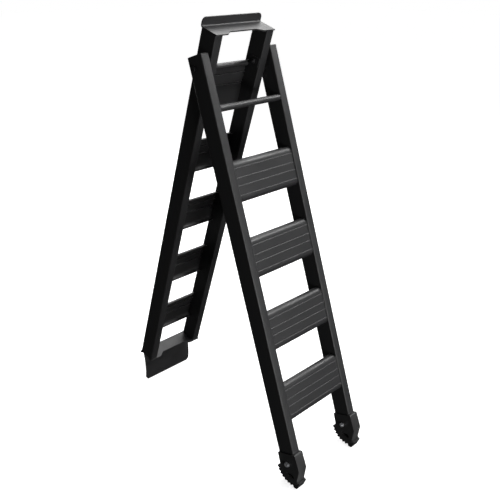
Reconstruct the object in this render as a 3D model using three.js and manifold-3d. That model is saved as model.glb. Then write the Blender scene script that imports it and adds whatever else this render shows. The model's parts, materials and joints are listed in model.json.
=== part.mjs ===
// Folding step ladder, standing open as an A-frame. It also opens straight, as a ramp with steps.
// Two ladder sections of rectangular tube hinge on a pair of pivot bolts near the top.
// Units are millimetres. +Z is up, X runs across the ladder, the front section faces -Y.
import * as THREE from 'three';
import { mergeVertices } from 'three/addons/utils/BufferGeometryUtils.js';
import initManifold from 'manifold-3d';

const wasm = await initManifold();
wasm.setup();

// ---------- driving dimensions ----------

const LEAN = THREE.MathUtils.degToRad(18); // lean of each section from the vertical
const FIT = 0.3; // gap left between neighbouring pieces

// Each section is laid out on its own axes. "down" is measured along the rail from the line where the
// centre planes of the two sections cross, and "out" is measured across the rail from its centre plane.
// "Out" points to the front of the ladder in both sections.
const RAIL_WIDTH = 32; // tube size across the ladder
const RAIL_DEPTH = 66;
const RAIL_WALL = 2.5;
const RAIL_CORNER = 3.5;
const FRONT_WIDTH = 336; // over the rails of the front section
const SIDE_PLAY = 7; // from the inside of a front rail to the outside of a rear rail

const FRONT_TOP = -6;
const REAR_PLATE_TOP = -82;
const FRONT_TAIL = 170; // rail below the lowest tread
const REAR_TAIL = 110;

const TREAD_COUNT = 4;
const TREAD_PITCH = 250;
const FRONT_TREAD_HEIGHT = 134;
const REAR_TREAD_HEIGHT = 128;
const PIVOT_TREAD_HEIGHT = 168; // the deep one between the pivots, down to the cross rod's level
const TREAD_DEPTH = 18;
const TREAD_WALL = 3;
const TREAD_RECESS = 5; // from the face of the rail to the face of the tread
const TREAD_ROUND = 18;
const FIRST_FRONT_TREAD = 330;
const FIRST_REAR_TREAD = 310;
const TOP_REAR_TREAD = 38;
const RIB_PLACES = [0.187, 0.4185, 0.606, 0.835]; // grip ribs, as fractions of the tread's height
const RIB_HEIGHT = 1.8;
const RIB_WIDTH = 3;
const STIFFENER_PLACES = [0.27, 0.5];

const PIVOT_DROP = 35; // pivot axis below the crossing of the centre planes
const PIVOT_RADIUS = 5;
const PIVOT_PLAY = 0.3;
const PIVOT_HEAD_RADIUS = 9.2; // across the corners of the bolt head and of the nut
const PIVOT_WASHER_RADIUS = 12;
const PIVOT_BUSH_RADIUS = 15;
const PIVOT_PLATE = { edge: 2.2, height: 30, thickness: 4 }; // "edge" is its setback from the rail's face

const ROD_RADIUS = 10.5;
const ROD_DOWN = 165;

const PLATE = 4; // thickness of both bent brackets
const TAB_REACH = 3; // how far the front tabs of a bracket stand out past the rails
const NOTCH_DEPTH = 16;
const NOTCH_MOUTH = 158;
const NOTCH_FLOOR = 122;
const LIP_HEIGHT = 28;
const LIP_CORNER = 16;
const TONGUE_WIDTH = 234;
const TONGUE_CORNER = 20;
const TONGUE_START = THREE.MathUtils.degToRad(34); // slant of the tongue against the rail, at its root
const TONGUE_END = THREE.MathUtils.degToRad(8); // the same at its edge

const BOOT_WALL = 3.2;
const BOOT_SOCKET = 66; // depth of the socket that takes the rail
const BOOT_TOE = 12; // how far the toe stands out past the rail
const BOOT_BOLT_UP = 26; // bolt above the end of the rail
const BOOT_BOLT_OUT = -4;
const BOOT_BOLT_RADIUS = 4;
const BOOT_HEAD_RADIUS = 8;
const BOOT_WASHER_RADIUS = 10;
const SOLE_CENTRE_OUT = 14; // centre of the curved sole
const SOLE_CENTRE_UP = 12; // the same, above the end of the rail
const SOLE_RADIUS = 64; // to the roots of the teeth
const SOLE_THICKNESS = 5.5;
const TOOTH_COUNT = 7;
const TOOTH_HEIGHT = 6;
const SOLE_STAND = 72.5; // centre of the curved sole above the ground

// ---------- derived dimensions ----------

const HALF_DEPTH = RAIL_DEPTH / 2;
const TREADS_RUN = (TREAD_COUNT - 1) * TREAD_PITCH;
const FRONT_RAIL_END = FIRST_FRONT_TREAD + TREADS_RUN + FRONT_TREAD_HEIGHT + FRONT_TAIL;
const REAR_PLATE_BOTTOM = FIRST_REAR_TREAD + TREADS_RUN + REAR_TREAD_HEIGHT + REAR_TAIL;
const TREAD_FACE = HALF_DEPTH - TREAD_RECESS;
const PLATE_FRONT = HALF_DEPTH + TAB_REACH;
const FRONT_RAIL_X = FRONT_WIDTH / 2 - RAIL_WIDTH / 2;
const FRONT_INNER_X = FRONT_WIDTH / 2 - RAIL_WIDTH;
const REAR_HALF_WIDTH = FRONT_INNER_X - SIDE_PLAY;
const REAR_RAIL_X = REAR_HALF_WIDTH - RAIL_WIDTH / 2;
const REAR_INNER_X = REAR_HALF_WIDTH - RAIL_WIDTH;
const PIVOT_DOWN = PIVOT_DROP * Math.cos(LEAN);
const PIVOT_OUT = PIVOT_DROP * Math.sin(LEAN);
const ROD_OUT = HALF_DEPTH - ROD_RADIUS - FIT;
const BOOT_TOP = FRONT_RAIL_END - BOOT_SOCKET;
const BOOT_BOLT = { out: BOOT_BOLT_OUT, down: FRONT_RAIL_END - BOOT_BOLT_UP };
const SOLE_CENTRE = [SOLE_CENTRE_OUT, FRONT_RAIL_END - SOLE_CENTRE_UP];

// The ground lies this far below the crossing of the centre planes. The two functions give the "down"
// at which a line of given "out" meets it, in either section.
const GROUND_DROP = SOLE_CENTRE[1] * Math.cos(LEAN) - SOLE_CENTRE[0] * Math.sin(LEAN) + SOLE_STAND;
const frontGround = (out) => (GROUND_DROP + out * Math.sin(LEAN)) / Math.cos(LEAN);
const rearGround = (out) => (GROUND_DROP - out * Math.sin(LEAN)) / Math.cos(LEAN);

// ---------- shaping helpers ----------

// A three.js geometry as a solid for adding and cutting.
function toSolid(geometry) {
  const plain = geometry.index ? geometry.toNonIndexed() : geometry;
  const bare = new THREE.BufferGeometry().setAttribute('position', plain.getAttribute('position'));
  const merged = mergeVertices(bare, 1e-4);
  return new wasm.Manifold(
    new wasm.Mesh({
      numProp: 3,
      vertProperties: merged.attributes.position.array,
      triVerts: new Uint32Array(merged.index.array),
    }),
  );
}

// The three.js geometry of a solid.
function toGeometry(solid) {
  const mesh = solid.getMesh();
  const geometry = new THREE.BufferGeometry();
  geometry.setAttribute('position', new THREE.BufferAttribute(new Float32Array(mesh.vertProperties), 3));
  geometry.setIndex(new THREE.BufferAttribute(new Uint32Array(mesh.triVerts), 1));
  return geometry;
}

function cut(geometry, ...tools) {
  let solid = toSolid(geometry);
  for (const tool of tools) {
    solid = solid.subtract(toSolid(tool));
  }
  return toGeometry(solid);
}

function join(geometry, ...others) {
  let solid = toSolid(geometry);
  for (const other of others) {
    solid = solid.add(toSolid(other));
  }
  return toGeometry(solid);
}

function overlap(first, second) {
  return toGeometry(toSolid(first).intersect(toSolid(second)));
}

function shapeOf(points) {
  return new THREE.Shape(points.map(([x, y]) => new THREE.Vector2(x, y)));
}

function extrude(shape, length) {
  return new THREE.ExtrudeGeometry(shape, { depth: length, bevelEnabled: false, curveSegments: 4 });
}

// A profile given as [out, down] points, run across the ladder from x = low to x = high.
function across(points, low, high) {
  const shape = shapeOf(points.map(([out, down]) => [-out, -down]));
  const geometry = extrude(shape, high - low);
  geometry.applyMatrix4(new THREE.Matrix4().set(0, 0, 1, low, 1, 0, 0, 0, 0, 1, 0, 0, 0, 0, 0, 1));
  return geometry;
}

// A profile given as [x, down] points, run from out = high back to out = low.
function frontToBack(points, low, high) {
  const shape = shapeOf(points.map(([x, down]) => [x, -down]));
  const geometry = extrude(shape, high - low);
  geometry.applyMatrix4(new THREE.Matrix4().set(1, 0, 0, 0, 0, 0, -1, -low, 0, 1, 0, 0, 0, 0, 0, 1));
  return geometry;
}

// A profile given as a shape on [x, -out], run along the rail between two heights.
function along(shape, top, bottom) {
  const geometry = extrude(shape, bottom - top);
  geometry.translate(0, 0, -bottom);
  return geometry;
}

function arcPoints(centre, radius, from, to, steps) {
  const points = [];
  for (let i = 0; i <= steps; i += 1) {
    const angle = THREE.MathUtils.degToRad(from + ((to - from) * i) / steps);
    points.push([centre[0] + radius * Math.cos(angle), centre[1] + radius * Math.sin(angle)]);
  }
  return points;
}

function roundedRectangle(x, y, width, depth, corner) {
  const points = [];
  const centres = [
    [x + width / 2 - corner, y + depth / 2 - corner, 0],
    [x - width / 2 + corner, y + depth / 2 - corner, 90],
    [x - width / 2 + corner, y - depth / 2 + corner, 180],
    [x + width / 2 - corner, y - depth / 2 + corner, 270],
  ];
  for (const [cx, cy, start] of centres) {
    points.push(...arcPoints([cx, cy], corner, start, start + 90, 3));
  }
  return points;
}

// A round bar or disc across the ladder.
function barAcross(radius, low, high, out, down, sides = 24) {
  const geometry = new THREE.CylinderGeometry(radius, radius, high - low, sides);
  geometry.rotateZ(Math.PI / 2);
  geometry.translate((low + high) / 2, -out, -down);
  return geometry;
}

function ringAcross(outer, inner, low, high, out, down, sides = 24) {
  const body = barAcross(outer, low, high, out, down, sides);
  const hole = barAcross(inner, low - 1, high + 1, out, down, 24);
  return cut(body, hole);
}

// ---------- assembly helpers ----------

const ladder = new THREE.Group();
ladder.name = 'folding_step_ladder';

const PAINT = new THREE.MeshStandardMaterial({ color: 0x3a3a3c, roughness: 0.45, metalness: 0.2 });
const PLASTIC = new THREE.MeshStandardMaterial({ color: 0x1b1b1c, roughness: 0.6 });
const RUBBER = new THREE.MeshStandardMaterial({ color: 0x141414, roughness: 0.85 });
const ZINC = new THREE.MeshStandardMaterial({ color: 0xb4b6b8, roughness: 0.35, metalness: 0.9 });
const BLACKENED = new THREE.MeshStandardMaterial({ color: 0x242425, roughness: 0.5, metalness: 0.5 });

// The front section leans back from its feet, the rear section leans forward.
function place(name, geometry, material, section) {
  geometry.rotateX(section === 'front' ? -LEAN : LEAN);
  const mesh = new THREE.Mesh(geometry, material);
  mesh.name = name;
  ladder.add(mesh);
}

const SIDES = [
  ['left', -1],
  ['right', 1],
];

// x limits of a piece that lies between two distances from the centre, on one side of the ladder.
function between(side, near, far) {
  return side < 0 ? [-far, -near] : [near, far];
}

// ---------- rails ----------

function rail(centreX, top, bottom, holes) {
  const outer = shapeOf(roundedRectangle(centreX, 0, RAIL_WIDTH, RAIL_DEPTH, RAIL_CORNER));
  const innerWidth = RAIL_WIDTH - 2 * RAIL_WALL;
  const innerDepth = RAIL_DEPTH - 2 * RAIL_WALL;
  const bore = roundedRectangle(centreX, 0, innerWidth, innerDepth, RAIL_CORNER - RAIL_WALL + 0.6);
  outer.holes.push(new THREE.Path(bore.map(([x, y]) => new THREE.Vector2(x, y))));
  const tube = along(outer, top, bottom);
  const drills = holes.map(({ radius, out, down }) =>
    barAcross(radius, centreX - RAIL_WIDTH, centreX + RAIL_WIDTH, out, down),
  );
  return cut(tube, ...drills);
}

// Moulded end cap with a plug that fits inside the tube.
function railCap(centreX, top) {
  const rim = along(
    shapeOf(roundedRectangle(centreX, 0, RAIL_WIDTH, RAIL_DEPTH, RAIL_CORNER)),
    top + 1.4,
    top + 4 - FIT,
  );
  const crown = along(
    shapeOf(roundedRectangle(centreX, 0, RAIL_WIDTH - 2.4, RAIL_DEPTH - 2.4, RAIL_CORNER)),
    top,
    top + 1.6,
  );
  const plugWidth = RAIL_WIDTH - 2 * (RAIL_WALL + FIT);
  const plugDepth = RAIL_DEPTH - 2 * (RAIL_WALL + FIT);
  const plug = along(shapeOf(roundedRectangle(centreX, 0, plugWidth, plugDepth, 1.5)), top + 3, top + 20);
  const hollow = along(
    shapeOf(roundedRectangle(centreX, 0, plugWidth - 5, plugDepth - 5, 1.5)),
    top + 7,
    top + 21,
  );
  return cut(join(rim, crown, plug), hollow);
}

const pivotHole = (out) => ({ radius: PIVOT_RADIUS + PIVOT_PLAY, out, down: PIVOT_DOWN });

for (const [word, side] of SIDES) {
  const frontX = side * FRONT_RAIL_X;
  const bootHole = { radius: BOOT_BOLT_RADIUS + FIT, ...BOOT_BOLT };
  const frontHoles = [pivotHole(-PIVOT_OUT), bootHole];
  const frontTube = rail(frontX, FRONT_TOP + 4, FRONT_RAIL_END, frontHoles);
  place(`front_rail_${word}`, frontTube, PAINT, 'front');
  place(`front_rail_cap_${word}`, railCap(frontX, FRONT_TOP), PLASTIC, 'front');

  const rearX = side * REAR_RAIL_X;
  const rearTube = rail(rearX, REAR_PLATE_TOP + PLATE + FIT, REAR_PLATE_BOTTOM - FIT, [pivotHole(PIVOT_OUT)]);
  place(`rear_rail_${word}`, rearTube, PAINT, 'rear');
}

// ---------- treads ----------

// Open-backed extruded step: a ribbed face with both edges rounded back, and two stiffeners behind.
// "face" is the out position of the face, and "inward" is +1 or -1, the way the open back looks.
function tread(top, height, face, inward, halfWidth) {
  const bottom = top + height;
  const tip = face + inward * TREAD_DEPTH;
  const inner = face + inward * TREAD_WALL;
  const round = TREAD_ROUND;
  const hollowRound = TREAD_ROUND - TREAD_WALL;
  const arc = (centreDown, radius, from, to) =>
    arcPoints([0, 0], radius, from, to, 5).map(([a, b]) => [tip - inward * a, centreDown + b]);
  const points = [];
  points.push(...arc(top + round, round, -90, 0));
  for (const fraction of RIB_PLACES) {
    const middle = top + fraction * height;
    const crest = face - inward * RIB_HEIGHT;
    points.push([face, middle - RIB_WIDTH / 2]);
    points.push([crest, middle - RIB_WIDTH / 4]);
    points.push([crest, middle + RIB_WIDTH / 4]);
    points.push([face, middle + RIB_WIDTH / 2]);
  }
  points.push(...arc(bottom - round, round, 0, 90));
  points.push(...arc(bottom - round, hollowRound, 90, 0));
  for (const fraction of [...STIFFENER_PLACES].reverse()) {
    const middle = top + fraction * height;
    points.push([inner, middle + 1.2]);
    points.push([inner + inward * 5, middle + 1.2]);
    points.push([inner + inward * 5, middle - 1.2]);
    points.push([inner, middle - 1.2]);
  }
  points.push(...arc(top + round, hollowRound, 0, -90));
  return across(points, -halfWidth, halfWidth);
}

for (let i = 0; i < TREAD_COUNT; i += 1) {
  const top = FIRST_FRONT_TREAD + i * TREAD_PITCH;
  const frontStep = tread(top, FRONT_TREAD_HEIGHT, TREAD_FACE, -1, FRONT_INNER_X - FIT);
  place(`front_tread_${i + 1}`, frontStep, PAINT, 'front');
}
for (let i = 0; i <= TREAD_COUNT; i += 1) {
  const top = i === 0 ? TOP_REAR_TREAD : FIRST_REAR_TREAD + (i - 1) * TREAD_PITCH;
  const height = i === 0 ? PIVOT_TREAD_HEIGHT : REAR_TREAD_HEIGHT;
  const rearStep = tread(top, height, -TREAD_FACE, 1, REAR_INNER_X - FIT);
  place(`rear_tread_${i + 1}`, rearStep, PAINT, 'rear');
}

// ---------- cross rod of the front section, where the hook of the rear section bears ----------

const rodHalf = FRONT_INNER_X - FIT;
const rodBore = ROD_RADIUS - 2.2;
const rodTube = cut(
  barAcross(ROD_RADIUS, -rodHalf, rodHalf, ROD_OUT, ROD_DOWN, 32),
  barAcross(rodBore, -rodHalf - 1, rodHalf + 1, ROD_OUT, ROD_DOWN, 24),
);
place('front_cross_rod', rodTube, PAINT, 'front');

// ---------- bent brackets across the ends of the rear section ----------

// A strip of even thickness whose two faces follow the given centre line.
function strip(line, thickness, halfWidth) {
  const one = [];
  const other = [];
  line.forEach(([out, down], i) => {
    const before = line[Math.max(i - 1, 0)];
    const after = line[Math.min(i + 1, line.length - 1)];
    const slope = new THREE.Vector2(after[0] - before[0], after[1] - before[1]).normalize();
    one.push([out - (slope.y * thickness) / 2, down + (slope.x * thickness) / 2]);
    other.push([out + (slope.y * thickness) / 2, down - (slope.x * thickness) / 2]);
  });
  return across([...one, ...other.reverse()], -halfWidth, halfWidth);
}

function notchTool(from, to) {
  const floor = PLATE_FRONT - NOTCH_DEPTH;
  const mouth = PLATE_FRONT + 2;
  const points = [
    [-NOTCH_MOUTH / 2, -mouth],
    [NOTCH_MOUTH / 2, -mouth],
    [NOTCH_MOUTH / 2, -PLATE_FRONT],
    [NOTCH_FLOOR / 2, -floor],
    [-NOTCH_FLOOR / 2, -floor],
    [-NOTCH_MOUTH / 2, -PLATE_FRONT],
  ];
  return along(shapeOf(points), from, to);
}

// Outline of a plate whose far end has rounded corners, as [x, down] points.
function tabOutline(halfWidth, root, end, corner) {
  const way = Math.sign(end - root);
  const centre = end - way * corner;
  const right = arcPoints([halfWidth - corner, 0], corner, 0, 90, 5);
  const left = right.map(([x, b]) => [-x, b]).reverse();
  const points = [[halfWidth, root]];
  points.push(...right.map(([x, b]) => [x, centre + way * b]));
  points.push(...left.map(([x, b]) => [x, centre + way * b]));
  points.push([-halfWidth, root]);
  return points;
}

// Hook bracket on top: a plate over the rail ends with an upright lip at its back edge.
const bend = 7; // radius of the centre line in a bend
const lipOut = -HALF_DEPTH - FIT - PLATE / 2;
const topLine = [[PLATE_FRONT, REAR_PLATE_TOP + PLATE / 2]];
const topBend = [lipOut + bend, REAR_PLATE_TOP + PLATE / 2 - bend];
topLine.push(...arcPoints(topBend, bend, 90, 180, 5));
topLine.push([lipOut, REAR_PLATE_TOP - LIP_HEIGHT]);
const hookStrip = strip(topLine, PLATE, REAR_HALF_WIDTH);
const hookOutline = [
  ...tabOutline(REAR_HALF_WIDTH, REAR_PLATE_TOP + PLATE + 5, REAR_PLATE_TOP - LIP_HEIGHT, LIP_CORNER),
];
const hookShape = frontToBack(hookOutline, -HALF_DEPTH - 20, PLATE_FRONT + 5);
const hook = cut(overlap(hookStrip, hookShape), notchTool(REAR_PLATE_TOP - 10, REAR_PLATE_TOP + 20));
place('top_hook_bracket', hook, PAINT, 'rear');

// Tongue bracket at the foot of the rear section: the same plate, with a long curved tongue that
// starts at its back edge, sweeps forward and stands on the ground.
const footPlate = REAR_PLATE_BOTTOM + PLATE / 2;
const footLine = [[PLATE_FRONT, footPlate]];
const footBend = [lipOut + bend, footPlate + bend];
const startAngle = THREE.MathUtils.radToDeg(TONGUE_START);
footLine.push(...arcPoints(footBend, bend, -90, -180 - startAngle, 7));
const sweepFrom = footLine[footLine.length - 1];
const rearDrop = ([out, down]) => down * Math.cos(LEAN) + out * Math.sin(LEAN);
const turnOut = Math.cos(TONGUE_END) - Math.cos(TONGUE_START);
const turnDown = Math.sin(TONGUE_START) - Math.sin(TONGUE_END);
const tongueRadius = (GROUND_DROP - rearDrop(sweepFrom)) / rearDrop([turnOut, turnDown]);
const SWEEP_STEPS = 9;
for (let i = 1; i <= SWEEP_STEPS; i += 1) {
  const angle = TONGUE_START + ((TONGUE_END - TONGUE_START) * i) / SWEEP_STEPS;
  const out = sweepFrom[0] + tongueRadius * (Math.cos(angle) - Math.cos(TONGUE_START));
  const down = sweepFrom[1] + tongueRadius * (Math.sin(TONGUE_START) - Math.sin(angle));
  footLine.push([out, down]);
}
const tongueEnd = footLine[footLine.length - 1];
const overrun = 4; // the strip runs on a little and is trimmed level with the ground
const overrunOut = tongueEnd[0] + overrun * Math.sin(TONGUE_END);
footLine.push([overrunOut, tongueEnd[1] + overrun * Math.cos(TONGUE_END)]);
const footStrip = strip(footLine, PLATE, REAR_HALF_WIDTH);
const shoulder = REAR_PLATE_BOTTOM + PLATE + 14;
const tongueOutline = [
  [-REAR_HALF_WIDTH, REAR_PLATE_BOTTOM - 5],
  [REAR_HALF_WIDTH, REAR_PLATE_BOTTOM - 5],
  [REAR_HALF_WIDTH, shoulder - 6],
  ...tabOutline(TONGUE_WIDTH / 2, shoulder, tongueEnd[1] + 1, TONGUE_CORNER),
  [-REAR_HALF_WIDTH, shoulder - 6],
];
const tongueShape = frontToBack(tongueOutline, -HALF_DEPTH - 20, PLATE_FRONT + 30);
const footNotch = notchTool(REAR_PLATE_BOTTOM - 10, REAR_PLATE_BOTTOM + PLATE + 1);
const belowGround = across(
  [
    [-100, rearGround(-100) + 60],
    [-100, rearGround(-100)],
    [100, rearGround(100)],
    [100, rearGround(100) + 60],
  ],
  -200,
  200,
);
const tongueBracket = cut(overlap(footStrip, tongueShape), footNotch, belowGround);
place('ramp_tongue_bracket', tongueBracket, PAINT, 'rear');

// ---------- pivots ----------

// A ring or bolt part on the pivot axis, in the axes of the front section.
const onPivot = (radius, limits, sides) => barAcross(radius, ...limits, -PIVOT_OUT, PIVOT_DOWN, sides);
const roundPivot = (radius, limits, sides) =>
  ringAcross(radius, PIVOT_RADIUS + PIVOT_PLAY, ...limits, -PIVOT_OUT, PIVOT_DOWN, sides);

for (const [word, side] of SIDES) {
  const outerFace = FRONT_WIDTH / 2;
  const plateFace = REAR_INNER_X - PIVOT_PLATE.thickness;
  const washer = between(side, outerFace + FIT, outerFace + 2);
  const head = between(side, outerFace + 2 + FIT, outerFace + 8);
  const shank = between(side, plateFace - 13, outerFace + 2.5);
  const bush = between(side, REAR_HALF_WIDTH + FIT, FRONT_INNER_X - FIT);
  const innerWasher = between(side, plateFace - 2, plateFace - FIT);
  const nut = between(side, plateFace - 10, plateFace - 2 - FIT);

  const bolt = join(onPivot(PIVOT_RADIUS, shank), onPivot(PIVOT_HEAD_RADIUS, head, 6));
  place(`pivot_bolt_${word}`, bolt, BLACKENED, 'front');
  place(`pivot_washer_${word}`, roundPivot(PIVOT_WASHER_RADIUS, washer), BLACKENED, 'front');
  place(`pivot_bush_${word}`, roundPivot(PIVOT_BUSH_RADIUS, bush), PLASTIC, 'front');
  place(`pivot_inner_washer_${word}`, roundPivot(PIVOT_WASHER_RADIUS - 1, innerWasher), BLACKENED, 'front');
  place(`pivot_nut_${word}`, roundPivot(PIVOT_HEAD_RADIUS, nut, 6), BLACKENED, 'front');

  // Plate that thickens the rear rail around the bolt.
  const plateBack = TREAD_DEPTH - TREAD_FACE + 0.8;
  const plateWidth = HALF_DEPTH - PIVOT_PLATE.edge - plateBack;
  const plateMiddle = plateBack + plateWidth / 2;
  const plateOutline = roundedRectangle(plateMiddle, PIVOT_DOWN, plateWidth, PIVOT_PLATE.height, 3);
  const thick = across(plateOutline, ...between(side, plateFace, REAR_INNER_X - FIT));
  const plateLimits = between(side, plateFace - 5, REAR_INNER_X + 5);
  const plateHole = barAcross(PIVOT_RADIUS + PIVOT_PLAY, ...plateLimits, PIVOT_OUT, PIVOT_DOWN);
  place(`pivot_plate_${word}`, cut(thick, plateHole), PAINT, 'rear');
}

// ---------- boots and soles of the front section ----------

const bootOuterX = FRONT_WIDTH / 2 + FIT + BOOT_WALL;
const bootInnerX = FRONT_INNER_X - FIT - BOOT_WALL;
const boreRadius = BOOT_BOLT_RADIUS + FIT;

// Side outline of a boot, as [out, down] points. It ends on the curve that carries the sole.
function bootOutline() {
  const back = -HALF_DEPTH - FIT - BOOT_WALL;
  const toe = HALF_DEPTH + BOOT_TOE;
  return [
    [back + 2, BOOT_TOP],
    [back, BOOT_TOP + 2.5],
    [back - 1.5, BOOT_TOP + 40],
    ...arcPoints(SOLE_CENTRE, SOLE_RADIUS - SOLE_THICKNESS - FIT, 176, 80, 14),
    [toe - 21, SOLE_CENTRE[1] + 45],
    [toe, SOLE_CENTRE[1] + 4],
    [toe - 3, BOOT_TOP + 2.5],
    [toe - 5, BOOT_TOP],
  ];
}

// Serrated sole: a curved band that ends in a flat under the toe and a short lip in front.
function soleOutline() {
  const inner = arcPoints(SOLE_CENTRE, SOLE_RADIUS - SOLE_THICKNESS, 80, 176, 14);
  const outer = [];
  const from = 180;
  const to = 101;
  for (let i = 0; i < TOOTH_COUNT; i += 1) {
    const tip = from + ((to - from) * i) / TOOTH_COUNT;
    const root = tip + (0.75 * (to - from)) / TOOTH_COUNT;
    outer.push(arcPoints(SOLE_CENTRE, SOLE_RADIUS + TOOTH_HEIGHT, tip, tip, 1)[0]);
    outer.push(arcPoints(SOLE_CENTRE, SOLE_RADIUS, root, root, 1)[0]);
  }
  const flat = [
    [1, frontGround(1)],
    [13, frontGround(13)],
  ];
  const lip = [
    [31, SOLE_CENTRE[1] + 55],
    [28, SOLE_CENTRE[1] + 49],
  ];
  return [...inner, ...outer, ...flat, ...lip];
}

// Moulding pocket through the sides of a boot, just under the end of the rail.
const pocket = [
  [-20, FRONT_RAIL_END + 6],
  [8, FRONT_RAIL_END + 11],
  [14, FRONT_RAIL_END + 20],
  [10, FRONT_RAIL_END + 27],
  [-9, FRONT_RAIL_END + 19],
];

for (const [word, side] of SIDES) {
  const { out, down } = BOOT_BOLT;
  const limits = between(side, bootInnerX, bootOuterX);
  const through = between(side, bootInnerX - 20, bootOuterX + 20);
  const socketWidth = RAIL_WIDTH + 2 * FIT;
  const socketDepth = RAIL_DEPTH + 2 * FIT;
  const socketOutline = roundedRectangle(side * FRONT_RAIL_X, 0, socketWidth, socketDepth, RAIL_CORNER);
  const socket = along(shapeOf(socketOutline), BOOT_TOP - 5, FRONT_RAIL_END + FIT);
  const boltHole = barAcross(boreRadius, ...through, out, down);
  const boot = cut(across(bootOutline(), ...limits), socket, boltHole, across(pocket, ...through));
  place(`front_boot_${word}`, boot, PLASTIC, 'front');
  const sole = across(soleOutline(), ...between(side, bootInnerX + 1, bootOuterX - 1));
  place(`front_sole_${word}`, sole, RUBBER, 'front');

  const washer = between(side, bootOuterX + FIT, bootOuterX + 1.8);
  const head = between(side, bootOuterX + 1.8 + FIT, bootOuterX + 7);
  const shank = between(side, bootInnerX - 11, bootOuterX + 2.5);
  const nut = between(side, bootInnerX - 8, bootInnerX - FIT);
  const bolt = join(
    barAcross(BOOT_BOLT_RADIUS, ...shank, out, down),
    barAcross(BOOT_HEAD_RADIUS, ...head, out, down, 6),
  );
  place(`boot_bolt_${word}`, bolt, ZINC, 'front');
  const ring = ringAcross(BOOT_WASHER_RADIUS, boreRadius, ...washer, out, down);
  place(`boot_washer_${word}`, ring, ZINC, 'front');
  const nutRing = ringAcross(BOOT_HEAD_RADIUS, boreRadius, ...nut, out, down, 6);
  place(`boot_nut_${word}`, nutRing, ZINC, 'front');
}

// ---------- origin: centre of the footprint box, on the ground ----------

const box = new THREE.Box3().setFromObject(ladder);
const middle = box.getCenter(new THREE.Vector3());
for (const mesh of ladder.children) {
  mesh.geometry.translate(-middle.x, -middle.y, -box.min.z);
}

export default ladder;
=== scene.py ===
"""Looks of the folding step ladder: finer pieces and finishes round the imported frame. Units are metres."""
import json
import math

import bmesh
import bpy
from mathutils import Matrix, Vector

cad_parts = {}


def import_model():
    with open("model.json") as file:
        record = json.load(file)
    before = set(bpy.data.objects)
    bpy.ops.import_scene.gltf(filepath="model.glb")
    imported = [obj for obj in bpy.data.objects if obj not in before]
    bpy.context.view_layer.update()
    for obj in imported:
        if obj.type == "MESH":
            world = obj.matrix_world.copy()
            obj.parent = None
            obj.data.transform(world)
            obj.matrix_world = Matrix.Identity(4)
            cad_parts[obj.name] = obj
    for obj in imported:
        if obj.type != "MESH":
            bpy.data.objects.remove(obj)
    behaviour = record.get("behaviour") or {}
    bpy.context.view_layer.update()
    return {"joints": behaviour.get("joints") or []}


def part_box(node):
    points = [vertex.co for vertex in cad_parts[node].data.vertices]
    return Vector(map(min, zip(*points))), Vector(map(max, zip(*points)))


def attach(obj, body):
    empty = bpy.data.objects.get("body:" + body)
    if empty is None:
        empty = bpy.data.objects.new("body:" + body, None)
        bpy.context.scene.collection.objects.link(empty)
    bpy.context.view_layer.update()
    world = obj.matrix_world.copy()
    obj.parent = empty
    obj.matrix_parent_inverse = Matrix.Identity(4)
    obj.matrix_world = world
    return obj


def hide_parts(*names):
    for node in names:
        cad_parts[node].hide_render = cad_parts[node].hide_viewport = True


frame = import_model()

# ---------- sizes ----------

MM = 0.001
LEAN = math.radians(18)
HINGE = Vector(frame["joints"][0]["pos_m"])
CROSSING = HINGE + Vector((0, 0, 35 * MM))  # where the centre planes of the two sections cross
FIT = 0.3 * MM

RAIL_WIDTH = 32 * MM
RAIL_DEPTH = 66 * MM
RAIL_WALL = 2.5 * MM
RAIL_CORNER = 3.5 * MM
HALF_DEPTH = RAIL_DEPTH / 2
FRONT_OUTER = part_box("front_rail_right")[1].x
FRONT_INNER = FRONT_OUTER - RAIL_WIDTH
REAR_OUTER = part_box("rear_rail_right")[1].x
REAR_INNER = REAR_OUTER - RAIL_WIDTH

FRONT_TOP = -6 * MM
FRONT_END = 1384 * MM
REAR_PLATE_TOP = -82 * MM
REAR_PLATE_BOTTOM = 1298 * MM
PLATE = 4 * MM
PLATE_FRONT = 36 * MM
BRACKET_BEND = 7 * MM
LIP_HEIGHT = 28 * MM
LIP_CORNER = 16 * MM
NOTCH_DEPTH = 16 * MM
NOTCH_HALF_MOUTH = 79 * MM
NOTCH_HALF_FLOOR = 56 * MM  # to where its rounded corners start
NOTCH_CORNER = 7 * MM
TONGUE_ROOT_SLANT = 34  # degrees from the rail, at the bend and at the ground
TONGUE_END_SLANT = 8
TONGUE_HALF_WIDTH = 117 * MM
TONGUE_CORNER = 20 * MM
SHOULDER_DROP = 14 * MM  # from the plate to where the tongue narrows

TREAD_PITCH = 250 * MM
TREAD_DEPTH = 18 * MM
TREAD_WALL = 3 * MM
TREAD_ROUND = 18 * MM
TREAD_FACE = HALF_DEPTH - 5 * MM
FRONT_TREADS = [(330 * MM + i * TREAD_PITCH, 134 * MM) for i in range(4)]
REAR_TREADS = [(38 * MM, 168 * MM)] + [(310 * MM + i * TREAD_PITCH, 128 * MM) for i in range(4)]
RIB_PLACES = (0.187, 0.4185, 0.606, 0.835)
RIB_HEIGHT = 1.8 * MM
RIB_WIDTH = 3 * MM
STIFFENER_PLACES = (0.27, 0.5)
LIP_ROLL = 9 * MM

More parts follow.
